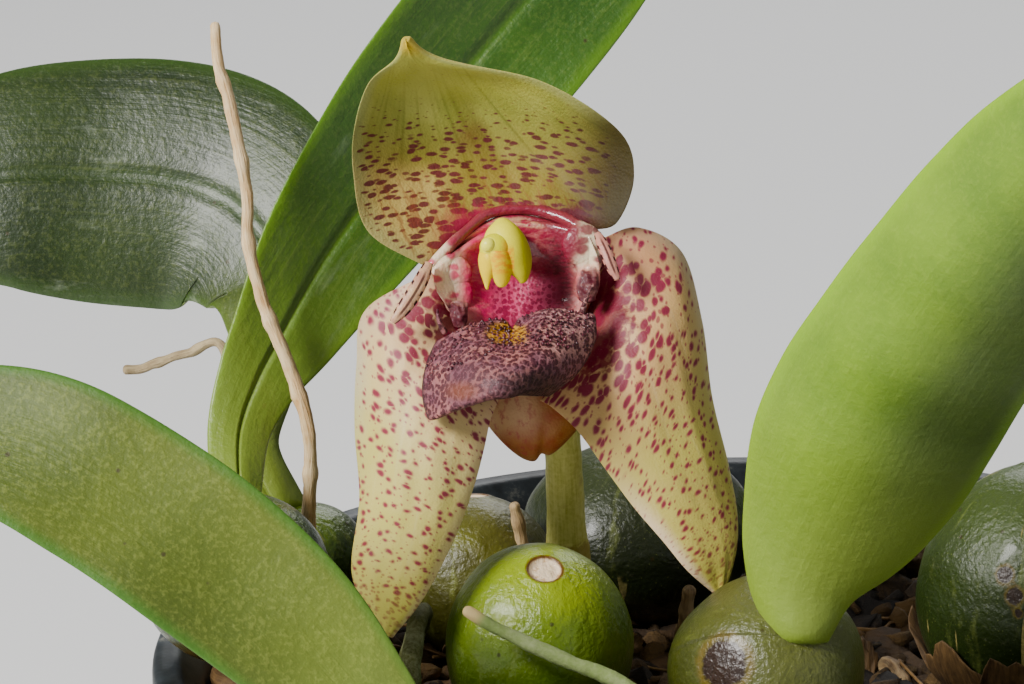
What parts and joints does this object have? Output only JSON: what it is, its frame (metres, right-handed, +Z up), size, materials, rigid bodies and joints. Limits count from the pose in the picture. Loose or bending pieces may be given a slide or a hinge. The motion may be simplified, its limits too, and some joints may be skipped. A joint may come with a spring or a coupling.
{
  "type": "potted bulbophyllum orchid",
  "caption": "Small creeping orchid in a round pot: globular pseudobulbs with single leathery leaves and one spotted three-sepalled flower.",
  "frame": {"origin": "centre of the pot's flat underside", "axes": "+Z up along the pot's axis, -Y towards the viewer who sees the flower's face, +X to that viewer's right"},
  "size_m": [0.1236, 0.1067, 0.1117],
  "materials": {
    "pot_plastic": "dark blue-grey moulded plastic, satin, faintly scuffed",
    "bark": "coarse fir bark chips and fibre, dull brown",
    "rhizome": "dry creeping stem with papery brown sheaths",
    "bulb_light": "fleshy, waxy yellow-green skin with fine pits and old scars",
    "bulb_dark": "fleshy, waxy dark green skin, scratched",
    "leaf": "thick leathery green leaf, satin gloss with a sunken midrib",
    "dry_root": "dry tan stalk and root, fibrous",
    "fresh_root": "pale green fleshy root",
    "scape": "yellow-green flower stem, fleshy",
    "throat": "glossy magenta and white spotted column foot",
    "mentum": "pinkish orange chin under the flower",
    "column": "waxy pale yellow column",
    "anther": "greenish yellow anther cap",
    "lip": "dark purple-brown, finely warty lip",
    "petal": "thin cream petal with dark dashes",
    "sepal": "fleshy yellow-green sepal with crimson spots, fine granular sheen"
  },
  "bodies": {
    "root": {"pot": "pot_plastic", "growing_medium": "bark", "rhizome": "rhizome", "pseudobulb_front": "bulb_light", "pseudobulb_olive": "bulb_light", "pseudobulb_behind_scape": "bulb_dark", "pseudobulb_right_front": "bulb_light", "pseudobulb_far_right": "bulb_dark", "pseudobulb_over_rim": "bulb_dark", "pseudobulb_back_left": "bulb_dark", "pseudobulb_left_front": "bulb_dark", "pseudobulb_back_right": "bulb_dark", "pseudobulb_back": "bulb_dark", "pseudobulb_near_front": "bulb_dark", "pseudobulb_right_edge": "bulb_dark", "leaf_left_front": "leaf", "leaf_right": "leaf", "leaf_middle": "leaf", "leaf_back_left": "leaf", "leaf_back": "leaf", "leaf_back_right": "leaf", "leaf_near_front": "leaf", "leaf_right_edge": "leaf", "dry_stalk": "dry_root", "dry_root": "dry_root", "green_root": "fresh_root", "looped_root": "fresh_root", "scape": "scape", "ovary": "scape", "column_foot": "throat", "mentum": "mentum", "column": "column", "anther_cap": "anther", "lip": "lip", "petal_left": "petal", "petal_right": "petal", "sepal_dorsal": "sepal", "sepal_left": "sepal", "sepal_right": "sepal"}
  },
  "joints": []
}
